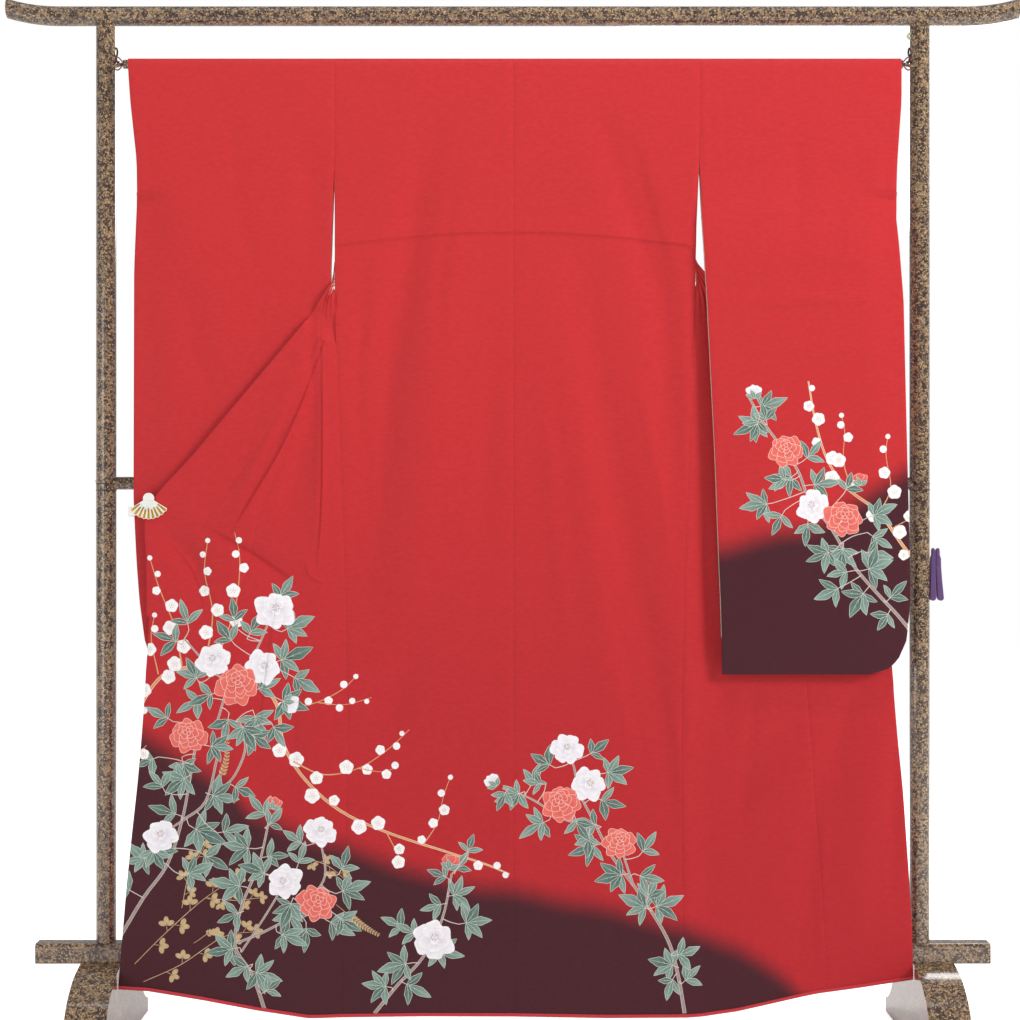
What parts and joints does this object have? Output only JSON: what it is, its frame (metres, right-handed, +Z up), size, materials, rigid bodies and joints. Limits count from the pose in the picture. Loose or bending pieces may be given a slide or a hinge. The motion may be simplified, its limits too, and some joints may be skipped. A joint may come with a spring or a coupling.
{
  "type": "furisode on a kimono stand",
  "caption": "Red silk furisode with an aubergine hem and flower sprays, hung back outwards with both fronts spread, on a speckled tubular kimono stand",
  "frame": {"origin": "on the floor, midway between the feet, below the centre of the posts and the top rail", "axes": "+Z up; -Y is the side the back of the garment faces; -X is the wearer's left"},
  "size_m": [1.74, 0.42, 1.7975],
  "materials": {
    "silk": "silk crepe, soft sheen",
    "lining": "plain silk",
    "lacquer": "gloss lacquer, gold speckles",
    "clip_plastic": "gloss",
    "peg_plastic": "satin"
  },
  "bodies": {
    "root": {"back_left": "silk", "back_right": "silk", "front_left": "silk", "front_right": "silk", "okumi_left": "silk", "okumi_right": "silk", "collar": "silk", "sleeve_left": "silk", "sleeve_right": "silk", "hem_roll": "lining", "hanging_rod": "lacquer", "rod_pin_left": "lacquer", "rod_pin_right": "lacquer", "top_rail": "lacquer", "post_left": "lacquer", "post_right": "lacquer", "middle_rail": "lacquer", "base_beam": "lacquer", "foot_left": "lacquer", "foot_right": "lacquer", "fan_clip": "clip_plastic", "peg": "peg_plastic"}
  },
  "joints": []
}
